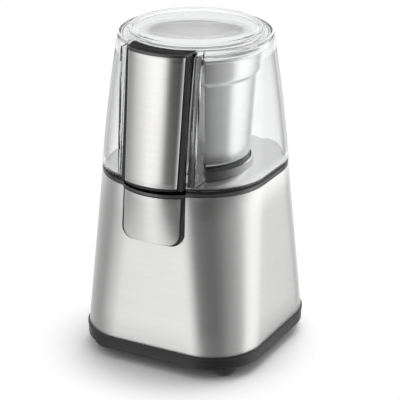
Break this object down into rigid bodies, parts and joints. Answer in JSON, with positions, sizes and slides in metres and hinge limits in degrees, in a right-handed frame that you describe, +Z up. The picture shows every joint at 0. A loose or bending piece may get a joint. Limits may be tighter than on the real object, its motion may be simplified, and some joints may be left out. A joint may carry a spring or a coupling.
{
  "type": "electric spice grinder",
  "caption": "Countertop spice grinder: tapered steel motor base on rubber feet, lift-out steel cup with a cross blade, and a clear lid with a press-down power lever.",
  "frame": {"origin": "on the spindle's axis, on the surface that the four feet stand on", "axes": "+Z up along the spindle, -Y towards the power lever at the front, +X to the right seen from the front"},
  "size_m": [0.1264, 0.1334, 0.218],
  "materials": {
    "brushed_steel": "vertical brushed satin",
    "cup_steel": "fine turned satin",
    "blade_steel": "ground and polished",
    "black_plastic": "fine satin grain",
    "coupling_plastic": "satin, glass filled",
    "switch_body": "moulded phenolic",
    "clear_plastic": "clear polished acrylic",
    "rubber": "matt",
    "lamination_iron": "stacked sheet, oiled",
    "copper": "enamelled wire and copper bars",
    "cast_alloy": "die cast",
    "zinc_steel": "zinc plated",
    "spring_steel": "drawn wire and strip",
    "bearing_steel": "ground",
    "carbon": "pressed graphite",
    "fan_nylon": "natural nylon",
    "bush_brass": "sintered"
  },
  "bodies": {
    "base": {"body_shell": "brushed_steel", "top_housing": "black_plastic", "deck_plate": "brushed_steel", "switch_housing": "black_plastic", "switch_cover": "brushed_steel", "base_tray": "black_plastic", "foot_front_left": "rubber", "foot_front_right": "rubber", "foot_rear_left": "rubber", "foot_rear_right": "rubber", "base_screws": "zinc_steel", "cord_gland": "rubber", "stator_core": "lamination_iron", "field_coil_left": "copper", "field_coil_right": "copper", "motor_top_bracket": "cast_alloy", "motor_bottom_bracket": "cast_alloy", "motor_bolts": "zinc_steel", "motor_grommets": "rubber", "motor_screws": "zinc_steel", "top_bearing": "bearing_steel", "bottom_bearing": "bearing_steel", "brush_holder_front": "switch_body", "brush_holder_rear": "switch_body", "carbon_brush_front": "carbon", "carbon_brush_rear": "carbon", "snap_switch": "switch_body", "switch_screws": "zinc_steel"},
    "rotor": {"motor_shaft": "bearing_steel", "armature_core": "lamination_iron", "armature_windings": "copper", "commutator": "copper", "cooling_fan": "fan_nylon", "drive_coupling": "coupling_plastic"},
    "plunger": {"switch_plunger": "black_plastic", "plunger_spring": "spring_steel"},
    "leaf": {"switch_leaf": "spring_steel"},
    "cup": {"cup_shell": "cup_steel", "cup_base": "black_plastic", "shaft_bush": "bush_brass", "bush_nut": "zinc_steel", "shaft_seal": "rubber"},
    "blade": {"blade_shaft": "blade_steel", "lower_blade": "blade_steel", "upper_blade": "blade_steel", "blade_nut": "blade_steel", "cup_coupling": "coupling_plastic"},
    "lid": {"lid_shell": "clear_plastic", "lever_retainers": "black_plastic"},
    "lever": {"lever_carrier": "black_plastic", "lever_cover": "brushed_steel", "lever_cap_piece": "black_plastic", "lever_springs": "spring_steel"}
  },
  "joints": [
    {"name": "motor_spin", "type": "hinge", "parent": "base", "child": "rotor", "pos_m": [0, 0, 0.08], "axis": [0, 0, 1], "continuous": true},
    {"name": "lid_lift", "type": "slide", "parent": "base", "child": "lid", "axis": [0, 0, 1], "range_m": [0, 0.25]},
    {"name": "lever_press", "type": "slide", "parent": "lid", "child": "lever", "axis": [0, 0, -1], "range_m": [0, 0.0028], "stiffness_N_per_m": 800, "springref_m": -0.004, "deforming": ["lever_springs"]},
    {"name": "cup_lift", "type": "slide", "parent": "base", "child": "cup", "axis": [0, 0, 1], "range_m": [0, 0.1]},
    {"name": "blade_spin", "type": "hinge", "parent": "cup", "child": "blade", "pos_m": [0, 0, 0.14], "axis": [0, 0, 1], "continuous": true},
    {"name": "plunger_press", "type": "slide", "parent": "base", "child": "plunger", "axis": [0, 0, -1], "range_m": [0, 0.0028], "deforming": ["plunger_spring"]},
    {"name": "leaf_turn", "type": "hinge", "parent": "base", "child": "leaf", "pos_m": [-0.0086, -0.0502, 0.1052], "axis": [0, 1, 0], "range_deg": [0, 12.5]}
  ],
  "couplings": [
    {"joint": "blade_spin", "follows": "motor_spin", "ratio": 1},
    {"joint": "cup_lift", "follows": "lid_lift", "ratio": 0.4},
    {"joint": "plunger_press", "follows": "lever_press", "ratio": 1},
    {"joint": "leaf_turn", "follows": "lever_press", "rad_per_m": 76.9}
  ]
}
